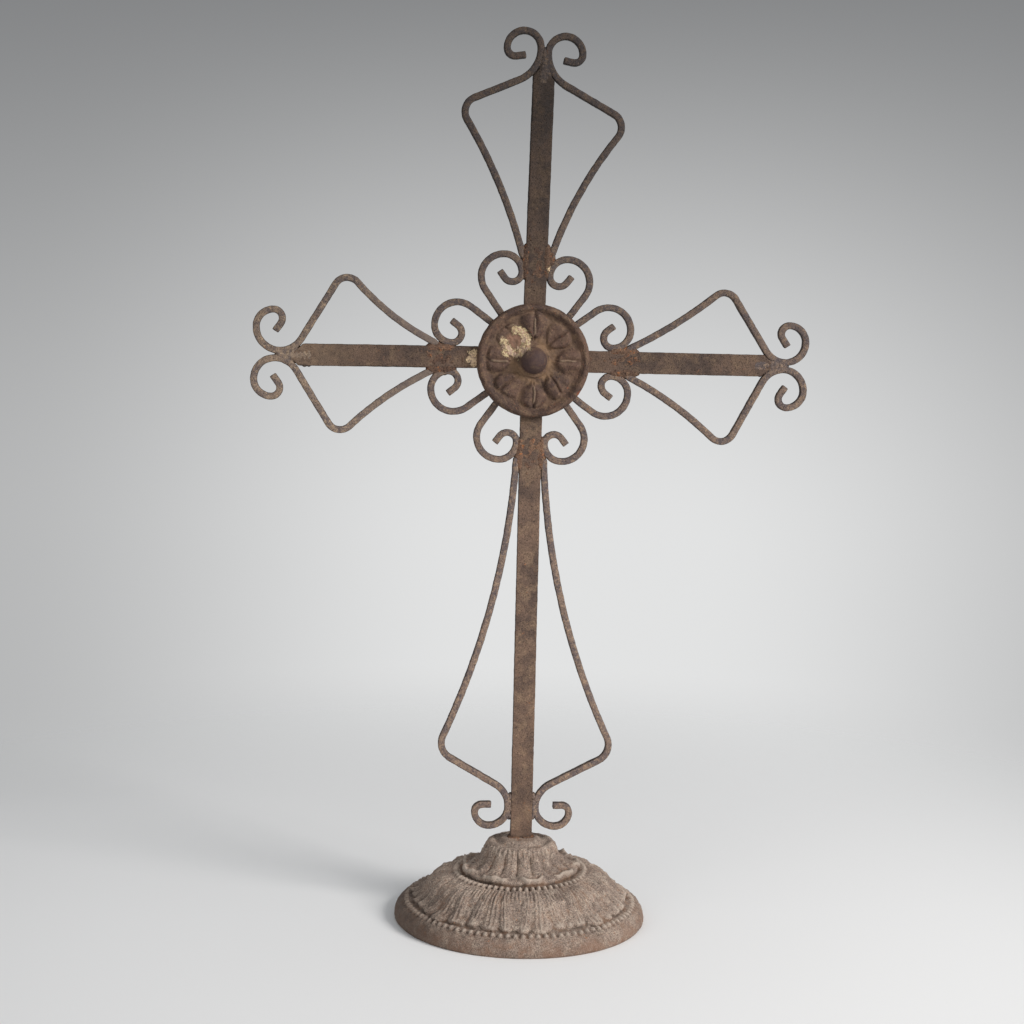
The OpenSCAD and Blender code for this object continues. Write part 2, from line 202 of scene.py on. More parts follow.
def tier_relief(radius, angle):
    """The tier: fine lines on its shoulder, leaves in threes with a tip showing between
    the groups, and a ring of beads at its edge."""
    turn = np.radians(angle)
    lines = rise(radius, 57.5, 60) * rise(-radius, -74, -66)
    share = (radius - tier_from) / (tier_to - tier_from)
    group = turn_within(angle - group_turn, 360 / leaf_groups)
    group = group + (1.4 * np.sin(5 * turn + 1) + 0.8 * np.sin(23 * turn)) * share
    tip = 0.98 + 0.04 * np.sin(7 * turn + 2)
    leaves = leaf_height(group, share, 0, 3.6 + 2.7 * share, -0.04, tip + 0.02)
    for side in (-1, 1):
        swing = side * (5.4 + 5.2 * share)
        outer = leaf_height(group, share, swing, 3.4 + 2.6 * share, -0.02, tip - 0.02)
        leaves = np.maximum(leaves, outer)
    behind = turn_within(angle - group_turn + 180 / leaf_groups, 360 / leaf_groups)
    leaves = np.maximum(leaves, 0.7 * leaf_height(behind, share, 0, 2.4, 0.5, 0.93))
    tier = rise(share, 0.0, 0.3) * rise(-share, -1.03, -0.99)
    height = 0.5 * lines * np.cos(shoulder_lines * turn) + 2.9 * leaves - 0.9 * tier
    return height + bead_row(radius, angle, lower_bead_r, lower_beads, 2.3)


foot_outer = np.concatenate([
    moulded_line(seat_line, 2.6)[:-1],
    moulded_line(cap_line, 0.9)[:-1],
    moulded_line(rim_line, 1.8)[:-1],
])
foot_inner = moulded_line(under_line, 8)
foot_line = np.concatenate([foot_outer, foot_inner])
slope = np.gradient(foot_outer, axis=0)
slope /= np.hypot(slope[:, 0], slope[:, 1])[:, None]
foot_angle = np.linspace(-180, 180, foot_spokes, endpoint=False)[None, :]
foot_radius = foot_line[:, :1] + 0 * foot_angle
foot_relief = np.zeros_like(foot_radius)
shown = foot_radius[:len(foot_outer)]
foot_relief[:len(foot_outer)] = (cap_relief(shown, foot_angle) + skirt_relief(shown, foot_angle)
                                 + tier_relief(shown, foot_angle))
sin_a = np.sin(np.radians(foot_angle))
cos_a = np.cos(np.radians(foot_angle))
bare = np.stack([foot_radius * sin_a, -foot_radius * cos_a, foot_line[:, 1:] + 0 * sin_a], axis=2)
cast_skin = 0.6 * rough_cast(bare, 7, 1) + 0.5 * rough_cast(bare, 2.6, 2)
lift = foot_relief + cast_skin
out = np.zeros((len(foot_line), 2))
out[:len(foot_outer), 0] = -slope[:, 1]
out[:len(foot_outer), 1] = slope[:, 0]
foot_radius = np.clip(foot_radius + lift * out[:, :1], 0, foot_r - 0.05)
foot_z = foot_line[:, 1:] + lift * out[:, 1:]
# The dome came out of the mould a little askew, lower on the left than on the right.
askew = rise(foot_radius, 26, 42) * rise(-foot_radius, -96, -84) * rise(foot_z, 14, 20)
foot_z = np.clip(foot_z + skew * foot_radius * sin_a * askew, 0, foot_h)
foot_points = np.stack([foot_radius * sin_a, -foot_radius * cos_a, foot_z], axis=2) * mm
foot = turned_mesh("foot_casting", foot_points)
mark_hollows(foot, lift, 11, 2.8)


def put(tree, kind, sockets=None, **settings):
    """Adds a node. A socket given another node's output is linked, any other is set."""
    node = tree.nodes.new(kind)
    for name, value in settings.items():
        setattr(node, name, value)
    for name, value in (sockets or {}).items():
        if isinstance(value, bpy.types.NodeSocket):
            tree.links.new(value, node.inputs[name])
        else:
            node.inputs[name].default_value = value
    return node


def ramp(tree, value, low, high, bottom=0.0, top=1.0):
    """Maps a value between low and high to between bottom and top, smoothly."""
    node = put(tree, "ShaderNodeMapRange", {"Value": value, "From Min": low, "From Max": high,
               "To Min": bottom, "To Max": top}, interpolation_type="SMOOTHSTEP")
    return node.outputs["Result"]


def calc(tree, kind, first, second=0.0):
    """One step of arithmetic, on one value or two."""
    return put(tree, "ShaderNodeMath", {0: first, 1: second}, operation=kind).outputs[0]


def place_of(tree):
    """Where a point lies, in metres."""
    return put(tree, "ShaderNodeTexCoord").outputs["Object"]


def axis_of(tree, vector, axis):
    """One of a vector's X, Y and Z."""
    return put(tree, "ShaderNodeSeparateXYZ", {0: vector}).outputs[axis]


def clouds(tree, place, scale, detail, roughness, distortion=0.0):
    """Soft noise round 0.5 over the whole piece."""
    node = put(tree, "ShaderNodeTexNoise", {"Vector": place, "Scale": scale, "Detail": detail,
               "Roughness": roughness, "Distortion": distortion})
    return node.outputs["Fac"]


def tint(tree, share, first, second, kind="MIX"):
    """Blends two colours by a share."""
    node = put(tree, "ShaderNodeMix", {0: share, 6: first, 7: second}, data_type="RGBA",
               blend_type=kind)
    return node.outputs[2]


def make_weathered_iron():
    """The look of old iron that all pieces share: dark metal, brown rust, tan bloom,
    orange rust in spots, grain and pits, with painted shade toward the top and on the edges.
    It puts out a colour, a roughness and a height."""
    tree = bpy.data.node_groups.new("weathered_iron", "ShaderNodeTree")
    for name in ("Dark", "Brown", "Tan", "Rust"):
        tree.interface.new_socket(name, in_out="INPUT", socket_type="NodeSocketColor")
    for name in ("Patches", "Tan Share", "Rust Share", "Grain", "Top Shade", "Edge Shade"):
        tree.interface.new_socket(name, in_out="INPUT", socket_type="NodeSocketFloat")
    tree.interface.new_socket("Color", in_out="OUTPUT", socket_type="NodeSocketColor")
    for name in ("Roughness", "Height"):
        tree.interface.new_socket(name, in_out="OUTPUT", socket_type="NodeSocketFloat")
    given = put(tree, "NodeGroupInput").outputs
    place = place_of(tree)
    broad = clouds(tree, place, given["Patches"], 6.0, 0.62)
    bloom = clouds(tree, place, calc(tree, "MULTIPLY", given["Patches"], 3.7), 8.0, 0.7, 0.4)
    spots = clouds(tree, place, 260.0, 6.0, 0.68)
    grain = clouds(tree, place, 1150.0, 4.0, 0.7)
    pits = put(tree, "ShaderNodeTexVoronoi", {"Vector": place, "Scale": 420.0,
               "Randomness": 1.0}).outputs["Distance"]
    colour = tint(tree, ramp(tree, broad, 0.42, 0.6), given["Dark"], given["Brown"])
    tan = calc(tree, "MULTIPLY", ramp(tree, bloom, 0.46, 0.66), given["Tan Share"])
    colour = tint(tree, tan, colour, given["Tan"])
    cut = calc(tree, "SUBTRACT", 0.74, calc(tree, "MULTIPLY", given["Rust Share"], 0.24))
    over = calc(tree, "SUBTRACT", spots, cut)
    colour = tint(tree, ramp(tree, over, 0.0, 0.07), colour, given["Rust"])
    # Crumbs of dry orange rust, a millimetre or two across, lie in the rusty spots.
    crumb = ramp(tree, clouds(tree, place, 640.0, 3.0, 0.6), 0.6, 0.68)
    crumb = calc(tree, "MULTIPLY", crumb, ramp(tree, spots, 0.42, 0.56))
    crumb = calc(tree, "MULTIPLY", crumb, given["Rust Share"])
    colour = tint(tree, crumb, colour, (0.4, 0.2, 0.105, 1))
    # Grain and pits darken or lighten the colour. Painted shade darkens it toward the top
    # (Top Shade) and on the edges, the faces that look sideways (Edge Shade).
    contrast = calc(tree, "MULTIPLY", ramp(tree, grain, 0.3, 0.7, -0.62, 0.62), given["Grain"])
    speck_and_shade = calc(tree, "MULTIPLY", calc(tree, "ADD", contrast, 1.0),
                 ramp(tree, pits, 0.1, 0.34, 0.6, 1.0))
    # Painted shade, darker toward the top.
    shade = ramp(tree, axis_of(tree, place, "Z"), 0.25, 0.75)
    shade = calc(tree, "MULTIPLY", shade, given["Top Shade"])
    speck_and_shade = calc(tree, "MULTIPLY", speck_and_shade, calc(tree, "SUBTRACT", 1.0, shade))
    # Painted shade on the edges, the faces that look sideways.
    facing = axis_of(tree, put(tree, "ShaderNodeNewGeometry").outputs["Normal"], "Y")
    ragged = calc(tree, "ADD", calc(tree, "ABSOLUTE", facing),
                  ramp(tree, bloom, 0.35, 0.65, -0.07, 0.07))
    edge = calc(tree, "MULTIPLY", ramp(tree, ragged, 0.55, 0.97, 1.0, 0.0), given["Edge Shade"])
    speck_and_shade = calc(tree, "MULTIPLY", speck_and_shade, calc(tree, "SUBTRACT", 1.0, edge))
    grey = put(tree, "ShaderNodeCombineXYZ", {"X": speck_and_shade, "Y": speck_and_shade, "Z": speck_and_shade}).outputs[0]
    colour = tint(tree, 1.0, colour, grey, "MULTIPLY")
    rough = calc(tree, "SUBTRACT", ramp(tree, bloom, 0.3, 0.7, 0.66, 0.92),
                 ramp(tree, grain, 0.4, 0.75, 0.0, 0.1))
    relief = calc(tree, "ADD", calc(tree, "MULTIPLY", grain, given["Grain"]),
                  calc(tree, "MULTIPLY", ramp(tree, pits, 0.12, 0.3), 0.6))
    relief = calc(tree, "ADD", relief, calc(tree, "MULTIPLY", spots, 1.4))
    put(tree, "NodeGroupOutput", {"Color": colour, "Roughness": rough, "Height": relief})
    return tree


weathered_iron = make_weathered_iron()


def new_iron(name, grain_depth, **values):
    """A material of weathered iron. Returns it, its tree, its group node and its shader."""
    material = bpy.data.materials.new(name)
    material.use_nodes = True
    tree = material.node_tree
    shader = tree.nodes["Principled BSDF"]
    named = {key.replace("_", " "): value for key, value in values.items()}
    group = put(tree, "ShaderNodeGroup", named, node_tree=weathered_iron)
    tree.links.new(group.outputs["Color"], shader.inputs["Base Color"])
    tree.links.new(group.outputs["Roughness"], shader.inputs["Roughness"])
    bump = put(tree, "ShaderNodeBump", {"Height": group.outputs["Height"], "Strength": 0.9,
               "Distance": grain_depth * mm})
    tree.links.new(bump.outputs["Normal"], shader.inputs["Normal"])
    shader.inputs["Metallic"].default_value = 0.0
    shader.inputs["Specular IOR Level"].default_value = 0.28
    return material, tree, group, shader


foot_iron, tree, group, shader = new_iron(
    "foot_iron", 0.35, Dark=(0.228, 0.167, 0.132, 1), Brown=(0.326, 0.247, 0.196, 1),
    Tan=(0.44, 0.35, 0.277, 1), Rust=(0.36, 0.175, 0.095, 1), Patches=34.0, Tan_Share=0.7,
    Rust_Share=0.5, Grain=1.1, Top_Shade=0.0)
# Painted shade darkens the hollows, the left side and the lower rim, the ridges are paler,
# and red rust has come up round the rim where the foot stands in the damp.
level = put(tree, "ShaderNodeAttribute", attribute_name="level").outputs["Fac"]
place = place_of(tree)
height_z = axis_of(tree, place, "Z")
damp = clouds(tree, place, 70.0, 7.0, 0.7)
# Painted shade in the hollows.
colour = tint(tree, ramp(tree, level, 0.02, 0.48, 0.84, 0.0), group.outputs["Color"],
              (0.052, 0.032, 0.022, 1))
colour = tint(tree, ramp(tree, level, 0.55, 0.95, 0.0, 0.6), colour, (0.52, 0.425, 0.345, 1))
warm = calc(tree, "MULTIPLY", ramp(tree, damp, 0.46, 0.62), ramp(tree, level, 0.3, 0.55, 0.5, 0.12))
colour = tint(tree, warm, colour, (0.27, 0.15, 0.09, 1))
rust = calc(tree, "MULTIPLY", ramp(tree, height_z, 0.004, 0.017, 1.0, 0.0),
            ramp(tree, damp, 0.36, 0.6))
colour = tint(tree, calc(tree, "MULTIPLY", rust, 0.6), colour, (0.235, 0.125, 0.078, 1))
# Painted shade on the left side, low down.
left_painted_shade = calc(tree, "MULTIPLY", ramp(tree, axis_of(tree, place, "X"), -0.1, -0.045, 0.64, 0.0),
             ramp(tree, height_z, 0.01, 0.03, 1.0, 0.25))
colour = tint(tree, left_painted_shade, colour, (0.07, 0.048, 0.036, 1))
# Painted shade on the lower rim.
rim_shade = ramp(tree, height_z, 0.008, 0.02, 0.2, 0.0)
colour = tint(tree, rim_shade, colour, (0.115, 0.07, 0.048, 1))
tree.links.new(colour, shader.inputs["Base Color"])
foot.data.materials.append(foot_iron)
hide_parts("foot")
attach(foot, "root")

# ---------------------------------------------------------------------------
# The flat bars: the upright stands on the foot's seat and leans a little to the
# right above the crossing, and the two side bars are butted on its edges. They are
# hot rolled flats with worn edges, rusted brown and pitted all over.
bar_voxel = 1.0
bar_passes = 3
bar_skin = 0.3
bar_iron, *_ = new_iron(
    "bar_iron", 0.3, Dark=(0.103, 0.066, 0.05, 1), Brown=(0.183, 0.113, 0.078, 1),
    Tan=(0.278, 0.183, 0.117, 1), Rust=(0.313, 0.131, 0.061, 1), Patches=26.0, Tan_Share=0.6,
    Rust_Share=0.4, Grain=0.6, Top_Shade=0.84, Edge_Shade=0.42)


def forged(node, name, voxel, passes, skin, lost=0.0):
    """The iron of a bar or rod, from the solid's shape."""
    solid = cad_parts[node]
    piece = bpy.data.objects.new(name, solid.data.copy())
    piece.data.materials.clear()
    bpy.context.scene.collection.objects.link(piece)
    shape = bmesh.new()
    shape.from_mesh(piece.data)
    bmesh.ops.remove_doubles(shape, verts=shape.verts, dist=0.002 * mm)
    shape.to_mesh(piece.data)
    shape.free()
    return refine(piece, voxel, passes, skin, lost)


def refine(piece, voxel, passes, skin, lost=0.0):
    """Remeshes a closed piece evenly, wears its edges down in so many passes and pits
    its skin, skin mm deep. Rust has eaten lost mm off it all round."""
    remesh = piece.modifiers.new("even", "REMESH")
    remesh.mode = "VOXEL"
    remesh.voxel_size = voxel * mm
    wear = piece.modifiers.new("wear", "SMOOTH")
    wear.factor = 0.5
    wear.iterations = passes
    bpy.context.view_layer.update()
    worn = piece.evaluated_get(bpy.context.evaluated_depsgraph_get())
    made = bpy.data.meshes.new_from_object(worn)
    piece.modifiers.clear()
    piece.data = made
    count = len(made.vertices)
    co = np.empty(count * 3, np.float32)
    made.vertices.foreach_get("co", co)
    out = np.empty(count * 3, np.float32)
    made.vertex_normals.foreach_get("vector", out)
    co = co.reshape(-1, 3)
    spots = co / mm
    depth = skin * (0.6 * rough_cast(spots, 6, 3) + 0.4 * rough_cast(spots, 2.2, 4))
    depth = depth - 0.25 * skin - lost
    co = co + out.reshape(-1, 3) * depth[:, None] * mm
    made.vertices.foreach_set("co", co.astype(np.float32).ravel())
    made.polygons.foreach_set("use_smooth", [True] * len(made.polygons))
    made.update()
    return piece


def make_paint_crust():
    """Old paint that flaked to a crust: a ring round Middle, or a patch if Radius is 0,
    open toward Gap Way and only in front of Back. Noise breaks it up, and Pale whitens
    it. It puts out a mask, a colour and a height."""
    tree = bpy.data.node_groups.new("paint_crust", "ShaderNodeTree")
    for name in ("Middle", "Gap Way"):
        tree.interface.new_socket(name, in_out="INPUT", socket_type="NodeSocketVector")
    for name in ("Radius", "Width", "Pale", "Back"):
        tree.interface.new_socket(name, in_out="INPUT", socket_type="NodeSocketFloat")
    tree.interface.new_socket("Color", in_out="OUTPUT", socket_type="NodeSocketColor")
    for name in ("Mask", "Height"):
        tree.interface.new_socket(name, in_out="OUTPUT", socket_type="NodeSocketFloat")
    given = put(tree, "NodeGroupInput").outputs
    place = place_of(tree)
    ragged = clouds(tree, place, 190.0, 6.0, 0.65)
    flakes = clouds(tree, place, 620.0, 5.0, 0.7)
    far = put(tree, "ShaderNodeVectorMath", {0: place, 1: given["Middle"]}, operation="DISTANCE")
    bend = calc(tree, "MULTIPLY", calc(tree, "SUBTRACT", ragged, 0.5), 0.012)
    bent = calc(tree, "ADD", far.outputs["Value"], bend)
    off = calc(tree, "ABSOLUTE", calc(tree, "SUBTRACT", bent, given["Radius"]))
    band = calc(tree, "DIVIDE", off, given["Width"])
    crumbs = calc(tree, "SUBTRACT", band, calc(tree, "MULTIPLY", flakes, 1.1))
    away = put(tree, "ShaderNodeVectorMath", {0: place, 1: given["Middle"]}, operation="SUBTRACT")
    toward = put(tree, "ShaderNodeVectorMath", {0: away.outputs["Vector"]}, operation="NORMALIZE")
    facing = put(tree, "ShaderNodeVectorMath", {0: toward.outputs["Vector"], 1: given["Gap Way"]},
                 operation="DOT_PRODUCT").outputs["Value"]
    facing = calc(tree, "ADD", facing, calc(tree, "MULTIPLY", ragged, 0.5))
    mask = calc(tree, "MULTIPLY", ramp(tree, crumbs, 0.12, 0.45, 1.0, 0.0),
                ramp(tree, facing, 1.08, 1.2, 1.0, 0.0))
    in_front = calc(tree, "LESS_THAN", axis_of(tree, place, "Y"), given["Back"])
    mask = calc(tree, "MULTIPLY", mask, in_front)
    colour = tint(tree, ramp(tree, flakes, 0.4, 0.6), (0.3, 0.17, 0.11, 1), (0.6, 0.48, 0.27, 1))
    colour = tint(tree, ramp(tree, ragged, 0.47, 0.6, 0.0, 0.8), colour, (0.5, 0.34, 0.26, 1))
    pale = calc(tree, "MULTIPLY", given["Pale"], ramp(tree, flakes, 0.38, 0.58))
    colour = tint(tree, pale, colour, (1.0, 0.72, 0.44, 1))
    height = calc(tree, "MULTIPLY", mask, calc(tree, "ADD", flakes, 0.7))
    put(tree, "NodeGroupOutput", {"Color": colour, "Mask": mask, "Height": height})
    return tree


paint_crust = make_paint_crust()


def add_crust(tree, shader, colour, relief, middle, radius, width, back, gap_way=(0, 0, 0),
              pale=0.0):
    """Lays a crust of old paint over a material's colour and relief."""
    crust = put(tree, "ShaderNodeGroup", {"Middle": middle, "Gap Way": gap_way, "Radius": radius,
                "Width": width, "Pale": pale, "Back": back}, node_tree=paint_crust)
    mixed = tint(tree, crust.outputs["Mask"], colour, crust.outputs["Color"])
    tree.links.new(mixed, shader.inputs["Base Color"])
    both = calc(tree, "ADD", relief, calc(tree, "MULTIPLY", crust.outputs["Height"], 2.2))
    bump = [n for n in tree.nodes if n.type == "BUMP"][0]
    tree.links.new(both, bump.inputs["Height"])


def copied_iron(iron, name):
    """A copy of an iron to lay paint on. Returns it, its tree, its group node and its shader."""
    material = iron.copy()
    material.name = name
    tree = material.node_tree
    group = [n for n in tree.nodes if n.type == "GROUP"][0]
    return material, tree, group, tree.nodes["Principled BSDF"]


# The left bar has bare tan metal toward its end and a patch of old paint by the medallion.
patched_iron, tree, group, shader = copied_iron(bar_iron, "patched_iron")
bar_z = (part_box("left_bar")[0].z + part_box("left_bar")[1].z) / 2 / mm
place = place_of(tree)
bare_tan = calc(tree, "MULTIPLY", ramp(tree, clouds(tree, place, 120.0, 6.0, 0.7), 0.35, 0.6, 0.2, 1.0),
                ramp(tree, axis_of(tree, place, "X"), -0.21, -0.12, 0.6, 0.0))
colour = tint(tree, bare_tan, group.outputs["Color"], (0.26, 0.175, 0.115, 1))
# The patch's paint is whitened past its own colour: painted light, to lift it out of the medallion's
# shadow.
patch_spot = Vector((-48.5, -3, bar_z - 1)) * mm
add_crust(tree, shader, colour, group.outputs["Height"], patch_spot, 0.0, 0.0076, back=-0.002,
          pale=0.8)

for node in ("upright", "left_bar", "right_bar"):
    bar = forged(node, node + "_iron", bar_voxel, bar_passes, bar_skin)
    bar.data.materials.append(patched_iron if node == "left_bar" else bar_iron)
    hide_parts(node)
    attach(bar, "root")

# ---------------------------------------------------------------------------
# The rods: sixteen lengths of square rod bent cold. Eight C-scrolls stand against
# the bars round the crossing, and eight longer rods make the open shields and end
# in curls. Their edges are worn nearly round and their tips are cut off square.
rod_voxel = 0.8
rod_passes = 5
rod_skin = 0.32
rod_lost = 0.12
rod_iron, *_ = new_iron(
    "rod_iron", 0.28, Dark=(0.135, 0.102, 0.096, 1), Brown=(0.215, 0.148, 0.115, 1),
    Tan=(0.39, 0.265, 0.175, 1), Rust=(0.35, 0.165, 0.095, 1), Patches=80.0, Tan_Share=0.8,
    Rust_Share=0.4, Grain=0.7, Top_Shade=0.76, Edge_Shade=0.55)
# The two shields on the left are paler, and less so near the crossing.
pale_rod_iron, tree, group, shader = new_iron(
    "pale_rod_iron", 0.28, Dark=(0.18, 0.135, 0.12, 1), Brown=(0.29, 0.205, 0.15, 1),
    Tan=(0.5, 0.355, 0.235, 1), Rust=(0.42, 0.2, 0.11, 1), Patches=80.0, Tan_Share=0.9,
    Rust_Share=0.4, Grain=0.7, Top_Shade=0.76, Edge_Shade=0.55)
near = ramp(tree, axis_of(tree, place_of(tree), "X"), -0.17, -0.085, 0.0, 0.7)
colour = tint(tree, near, group.outputs["Color"], (0.15, 0.112, 0.095, 1))
tree.links.new(colour, shader.inputs["Base Color"])
places = ("top_left", "top_right", "left_upper", "left_lower", "right_upper", "right_lower",
          "low_left", "low_right")
for place_name in places:
    for kind in ("scroll", "shield"):
        node = kind + "_" + place_name
        rod = forged(node, node + "_iron", rod_voxel, rod_passes, rod_skin, rod_lost)
        paler = kind == "shield" and place_name.startswith("left")
        rod.data.materials.append(pale_rod_iron if paler else rod_iron)
        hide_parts(node)
        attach(rod, "root")

# ---------------------------------------------------------------------------
# The welds: electric weld metal, lumpy and unground. It joins each C-scroll and
# shield rod to its bar, fills the ends of the arms between the two rods and runs
# round the lower end of the upright. Spatter lies about each joint.
crossing_z = (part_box("medallion")[0].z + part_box("medallion")[1].z) / 2 / mm
bar_edge = (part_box("right_bar")[1].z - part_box("right_bar")[0].z) / 2 / mm
rod_half = (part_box("scroll_top_left")[1].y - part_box("scroll_top_left")[0].y) / 2 / mm
lean = math.radians(0.9)
weld_voxel = 0.6
weld_passes = 2
weld_skin = 0.55
joint_steps = 10
spatter_drops = 14
foot_drops = 26
weld_iron, *_ = new_iron(
    "weld_iron", 0.5, Dark=(0.124, 0.068, 0.045, 1), Brown=(0.205, 0.112, 0.07, 1),
    Tan=(0.3, 0.184, 0.113, 1), Rust=(0.37, 0.14, 0.052, 1), Patches=60.0, Tan_Share=0.6,
    Rust_Share=0.72, Grain=0.8, Top_Shade=0.78, Edge_Shade=0.3)
scatter = random.Random(11)


def weld(name, drops, iron=weld_iron):
    """Weld metal from drops: each is a middle in mm and the three half sizes."""
    shape = bmesh.new()
    for middle, size in drops:
        grown = Matrix.Diagonal((*(half * mm for half in size), 1))
        placed = Matrix.Translation(Vector(middle) * mm) @ grown
        bmesh.ops.create_icosphere(shape, subdivisions=3, radius=1, matrix=placed)
    mesh = bpy.data.meshes.new(name)
    shape.to_mesh(mesh)
    shape.free()
    piece = bpy.data.objects.new(name, mesh)
    bpy.context.scene.collection.objects.link(piece)
    refine(piece, weld_voxel, weld_passes, weld_skin)
    piece.data.materials.append(iron)
    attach(piece, "root")


def on_arm(arm, along, across):
    """A place on an arm, along it and across it, as X and Z in mm."""
    heading = {"top": math.pi / 2 - lean, "left": math.pi, "right": 0, "low": -math.pi / 2}[arm]
    x = along * math.cos(heading) - across * math.sin(heading)
    z = along * math.sin(heading) + across * math.cos(heading)
    return x, crossing_z + z


def drop(arm, along, across, long_way, cross_way, thick, front=0.0):
    """One drop on an arm, with its half sizes along it, across it and through it."""
    x, z = on_arm(arm, along, across)
    flat = (long_way, cross_way) if arm in ("left", "right") else (cross_way, long_way)
    wide, _, tall = (scatter.uniform(0.9, 1.1) for _ in range(3))
    deep = thick * (0.97 + 0.06 * scatter.random())
    size = (flat[0] * wide, deep, flat[1] * tall)
    return (x + scatter.uniform(-0.4, 0.4), front, z + scatter.uniform(-0.4, 0.4)), size


# A chip of old paint is left on the right of the top joint.
chipped_iron, tree, group, shader = copied_iron(weld_iron, "chipped_weld_iron")
chip_x, chip_z = on_arm("top", 74, -11.4)
add_crust(tree, shader, group.outputs["Color"], group.outputs["Height"],
          Vector((chip_x, -3.5, chip_z)) * mm, 0.0, 0.0028, back=-0.002, pale=0.35)

# Where the weld begins and ends on each arm, in mm from the crossing.
joint_spans = {"top": (69, 91), "left": (66, 84), "right": (66, 85), "low": (66, 87)}
for arm, (joint_from, joint_to) in joint_spans.items():
    drops = []
    for step in range(joint_steps + 1):
        along = joint_from + (joint_to - joint_from) * step / joint_steps
        full = 3.2 + 2.2 * math.sin(math.pi * step / joint_steps) ** 0.5
        for edge in (-bar_edge + 0.4, bar_edge - 0.4):
            drops.append(drop(arm, along, edge, 4, full, rod_half + 0.5))
        drops.append(drop(arm, along, scatter.uniform(-3, 3), 5.5, 6.5, rod_half + 0.25))
    for _ in range(spatter_drops):
        along = scatter.uniform(joint_from - 14, joint_to + 16)
        size = scatter.uniform(0.6, 1.1)
        drops.append(drop(arm, along, scatter.uniform(-7, 7), size, size, 0.7, -rod_half))
    if arm == "top":
        for along in (79, 81.5, 84, 86.5):
            drops.append(drop(arm, along, -12.5, 3.2, 3.4, rod_half + 0.35))
    weld("weld_" + arm + "_joint", drops, chipped_iron if arm == "top" else weld_iron)

arm_ends = {"top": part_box("upright")[1].z / mm - crossing_z, "left": -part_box("left_bar")[0].x / mm,
            "right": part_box("right_bar")[1].x / mm}
# A web of weld narrows past the bar's end, as (place past the end, half its width) in mm.
end_web = ((-15, 9.3), (-12, 9.4), (-9, 8.8), (-6, 8), (-2.5, 6.8), (1, 5.4), (4.5, 4.2), (8, 3))
for arm, reach in arm_ends.items():
    drops = []
    for past, half in end_web:
        drops.append(drop(arm, reach + past, 0, 4.4, half, rod_half + 0.35))
    weld("weld_" + arm + "_end", drops, pale_rod_iron if arm == "left" else rod_iron)

# The two low shields curl outward here, and a little weld holds them to the upright.
low_end = crossing_z - foot_h
drops = []
for step in range(4):
    along = low_end - 35 + 5.5 * step
    for edge in (-bar_edge - 0.8, bar_edge + 0.8):
        drops.append(drop("low", along, edge, 4, 2.6, rod_half + 0.3))
weld("weld_low_end", drops, rod_iron)

drops = []
for step in range(foot_drops):
    turn = 2 * math.pi * step / foot_drops
    x = (bar_edge + 0.6) * math.copysign(abs(math.cos(turn)) ** 0.6, math.cos(turn))
    y = (rod_half + 0.8) * math.copysign(abs(math.sin(turn)) ** 0.6, math.sin(turn))
    drops.append(((x, y, foot_h - 0.3), (2.2, 2.0, scatter.uniform(1.4, 2.4))))
weld("weld_upright_foot", drops)

# ---------------------------------------------------------------------------
# The medallion: a round iron casting on the front of the crossing, with a rolled
# rim, eight petals in a dish and a smooth domed boss. An old crust of pale paint
# clings beside the boss, and a smear of it to the left bar.
med_low, med_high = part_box("medallion")
med_r = (med_high.x - med_low.x) / 2 / mm
med_back = med_high.y / mm
med_spokes = 480
boss_r = 11
boss_z = 7.5
dish_z = 5.2
rim_z = 9.3
petal_rise = 4.1
boss_line = [(boss_r * math.sin(math.radians(a)), boss_z + boss_r * math.cos(math.radians(a)))
             for a in range(2, 91, 8)]
front_line = boss_line + [(boss_r + 0.6, boss_z - 0.3), (12.6, boss_z - 0.2), (13.6, 6.8),
                          (14.2, dish_z), (36, dish_z), (38.6, 6.1), (40.4, 7.9), (41.6, 9),
                          (42.8, rim_z), (44.8, 8.8), (46, 7.2), (med_r, 5), (med_r, 1.6),
                          (med_r - 0.7, 0)]
back_line = [(med_r - 0.7, 0), (0.5, 0)]


def rib_of(radius, angle):
    """Share of the fine rib down the middle of each level or upright petal."""
    side = radius * np.sin(np.radians(turn_within(angle, 90)))
    return np.exp(-(side / 0.75) ** 2) * rise(radius, 18, 23) * rise(-radius, -38, -32)


def petal_relief(radius, angle):
    """Height of the eight petals: the level and upright ones are halved by a rib, and
    the slanting ones are folded along a crease."""
    turn = turn_within(angle, 45)
    upright = (np.round(angle / 45).astype(int) % 2) == 0
    end = np.where(upright, 40, 38)
    share = np.clip((radius - 16) / (end - 16), 0, 1)
    outline = rise(share, -0.3, 0.5) * np.sqrt(np.clip(1 - rise(share, 0.5, 1.1) ** 2, 0, 1))
    half = np.maximum(0.38 * radius * outline, 0.05)
    side = radius * np.sin(np.radians(turn))
    across = np.abs(side) / half
    inside = np.clip(1 - across ** 3, 0, 1) ** 0.75
    inside = inside * rise(share, 0, 0.2) * rise(-share, -1, -0.82)
    lobes = 0.12 + 0.88 * np.sin(math.pi * np.clip(across, 0, 1) ** 0.7) ** 1.1
    rib = rib_of(radius, angle)
    ribbed = inside * lobes * (0.8 + 0.2 * rise(share, 0.1, 0.6)) + 0.7 * rib * inside
    crease = side - 3 * (share - 0.45)
    uneven = 0.75 + 0.25 * np.tanh(crease / 2)
    folded = inside * uneven * (1 - 0.7 * np.exp(-(crease / 1.1) ** 2))
    streaks = 0.2 * np.cos(np.radians(angle * 24)) * rise(radius, 14, 18) * rise(-radius, -34, -24)
    petals = np.where(upright, ribbed, folded) * (radius > 15) * (radius < 40)
    return petal_rise * petals + streaks


